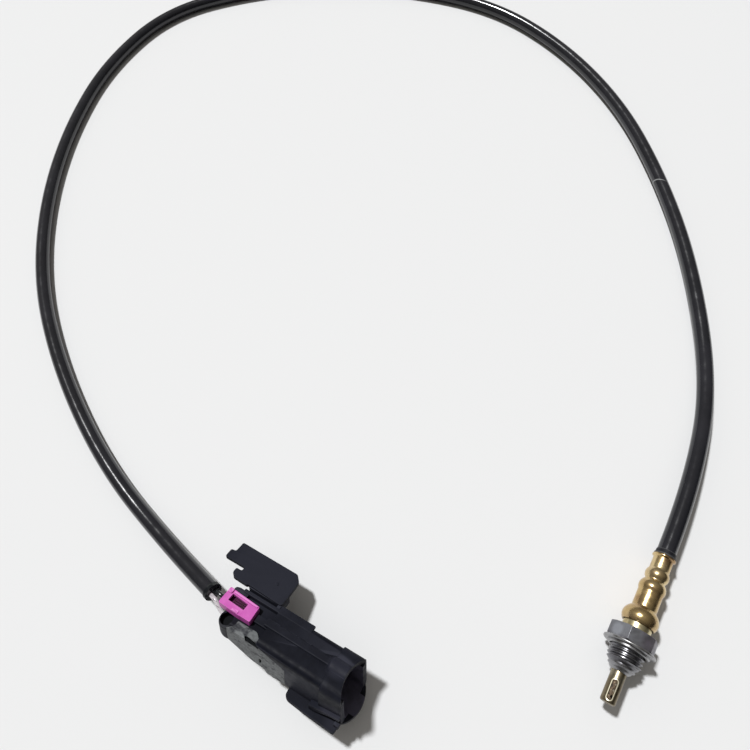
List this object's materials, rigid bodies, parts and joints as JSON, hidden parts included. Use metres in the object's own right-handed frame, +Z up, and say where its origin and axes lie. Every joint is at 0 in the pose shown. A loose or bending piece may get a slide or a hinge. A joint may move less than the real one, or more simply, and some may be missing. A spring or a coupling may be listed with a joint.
{
  "type": "oxygen sensor",
  "caption": "Screw-in exhaust oxygen sensor with a slotted protection tube, hexagon, crush washer and brass-coloured cover, on a long sheathed cord that ends in a keyed sealed connector.",
  "frame": {"origin": "on the flat surface that the part lies on, under the middle of the sensor's length", "axes": "-Y along the sensor toward its tip, +X to the right seen from above with the tip toward the viewer, +Z up"},
  "size_m": [0.407, 0.3849, 0.0277],
  "materials": {
    "brass_cover": "satin",
    "pale_collar": "satin",
    "dark_steel": "satin",
    "washer_steel": "satin",
    "tube_steel": "satin",
    "inner_steel": "satin",
    "spring_steel": "satin",
    "ceramic_white": "matte",
    "element_ceramic": "matte",
    "grommet_rubber": "matte",
    "lead_jacket": "satin",
    "sheath_plastic": "satin",
    "ring_clear": "gloss",
    "wire_black": "satin",
    "wire_clear": "gloss",
    "housing_plastic": "satin",
    "cover_plastic": "satin",
    "clip_plastic": "satin",
    "seal_rubber": "matte",
    "terminal_metal": "satin"
  },
  "bodies": {
    "root": {"cover_shell": "brass_cover", "retaining_collar": "pale_collar", "threaded_shell": "dark_steel", "sealing_washer": "washer_steel", "protection_tube": "tube_steel", "inner_tube": "inner_steel", "sensing_element": "element_ceramic", "upper_bush": "ceramic_white", "talc_ring": "ceramic_white", "lower_ceramic": "ceramic_white", "ceramic_insulator": "ceramic_white", "contact_spring_left": "spring_steel", "contact_spring_right": "spring_steel", "grommet": "grommet_rubber", "lead_wire_left": "lead_jacket", "lead_wire_right": "lead_jacket", "cord_sheath": "sheath_plastic", "sheath_end_ring": "ring_clear", "free_wire_black": "wire_black", "free_wire_clear": "wire_clear", "connector_housing": "housing_plastic", "side_cover": "cover_plastic", "lock_clip": "clip_plastic", "wire_seal_black": "seal_rubber", "wire_seal_clear": "seal_rubber", "terminal_black": "terminal_metal", "terminal_clear": "terminal_metal"}
  },
  "joints": []
}
